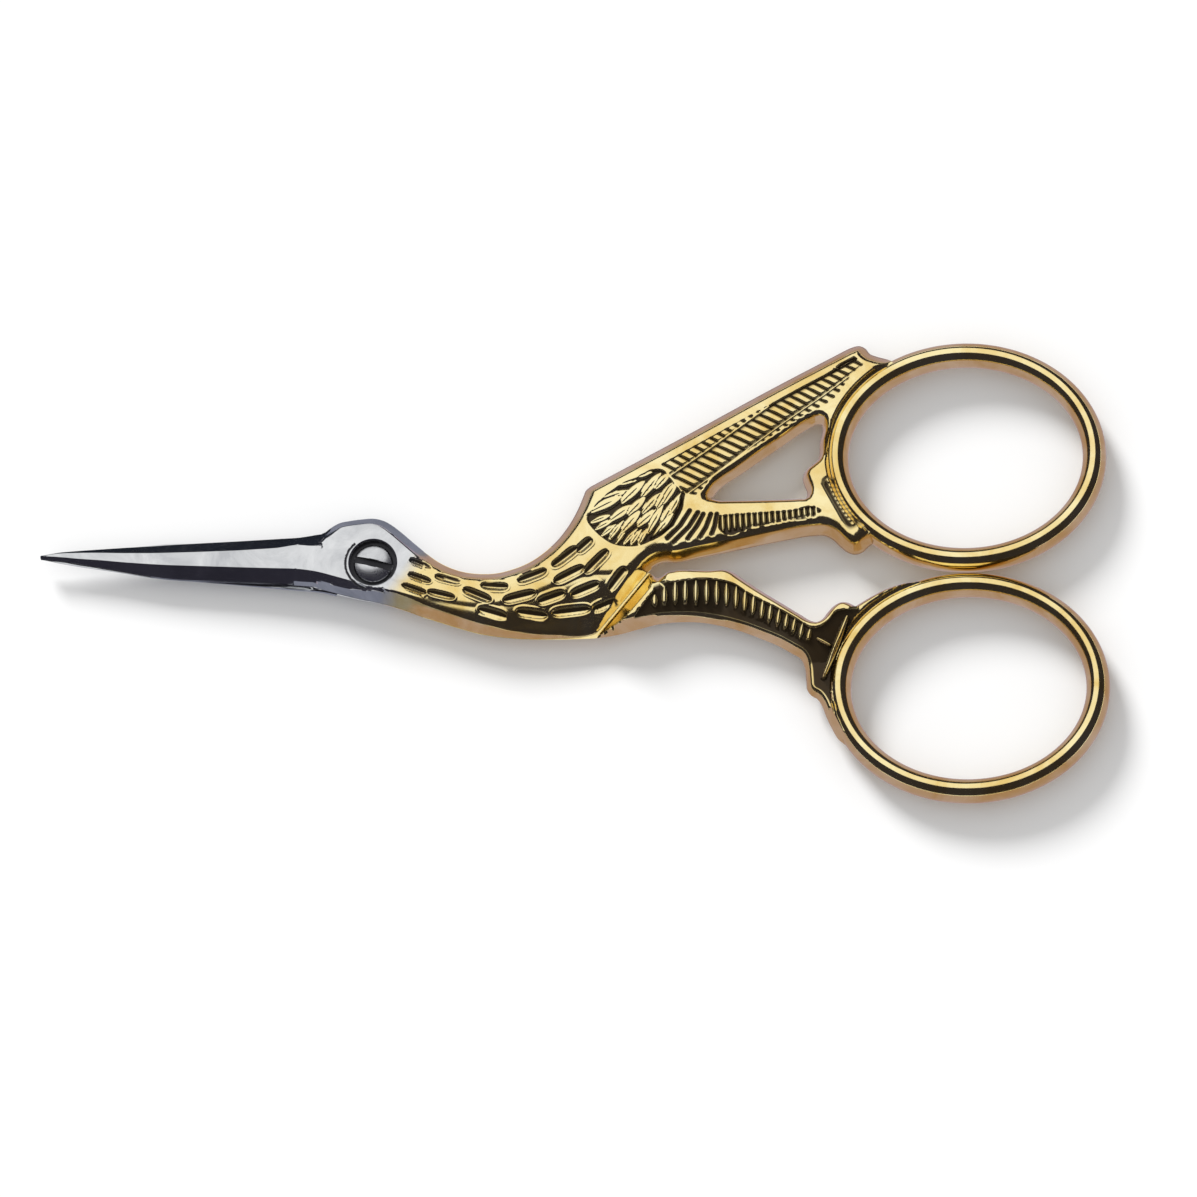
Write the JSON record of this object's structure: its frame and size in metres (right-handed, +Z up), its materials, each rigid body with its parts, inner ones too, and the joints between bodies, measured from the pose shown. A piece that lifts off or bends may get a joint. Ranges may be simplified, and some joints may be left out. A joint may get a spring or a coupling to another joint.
{
  "type": "stork embroidery scissors",
  "caption": "Small needlework scissors shaped as a stork, with slim bare steel blades for a beak and a gold-plated engraved body, wing, legs and finger rings.",
  "frame": {"origin": "on the pivot screw's axis, on the plane that the closed scissors lie on", "axes": "+X from the screw along the tool to the finger rings, +Z up along the screw's axis, towards its slotted head"},
  "size_m": [0.0907, 0.0399, 0.0035],
  "materials": {
    "blade_steel": "nickel-plated steel, polished",
    "gold_plating": "gold plating on steel, polished high spots and dark recesses",
    "ring_gold": "gold plating on steel, smooth polish",
    "screw_steel": "turned and polished steel"
  },
  "bodies": {
    "back_half": {"back_blade": "blade_steel", "back_shank": "gold_plating", "back_bow": "ring_gold", "pivot_screw": "screw_steel"},
    "front_half": {"front_blade": "blade_steel", "front_shank": "gold_plating", "front_bow": "ring_gold"}
  },
  "joints": [
    {"name": "pivot", "type": "hinge", "parent": "back_half", "child": "front_half", "pos_m": [0, 0, 0], "axis": [0, 0, 1], "range_deg": [0, 90]}
  ]
}
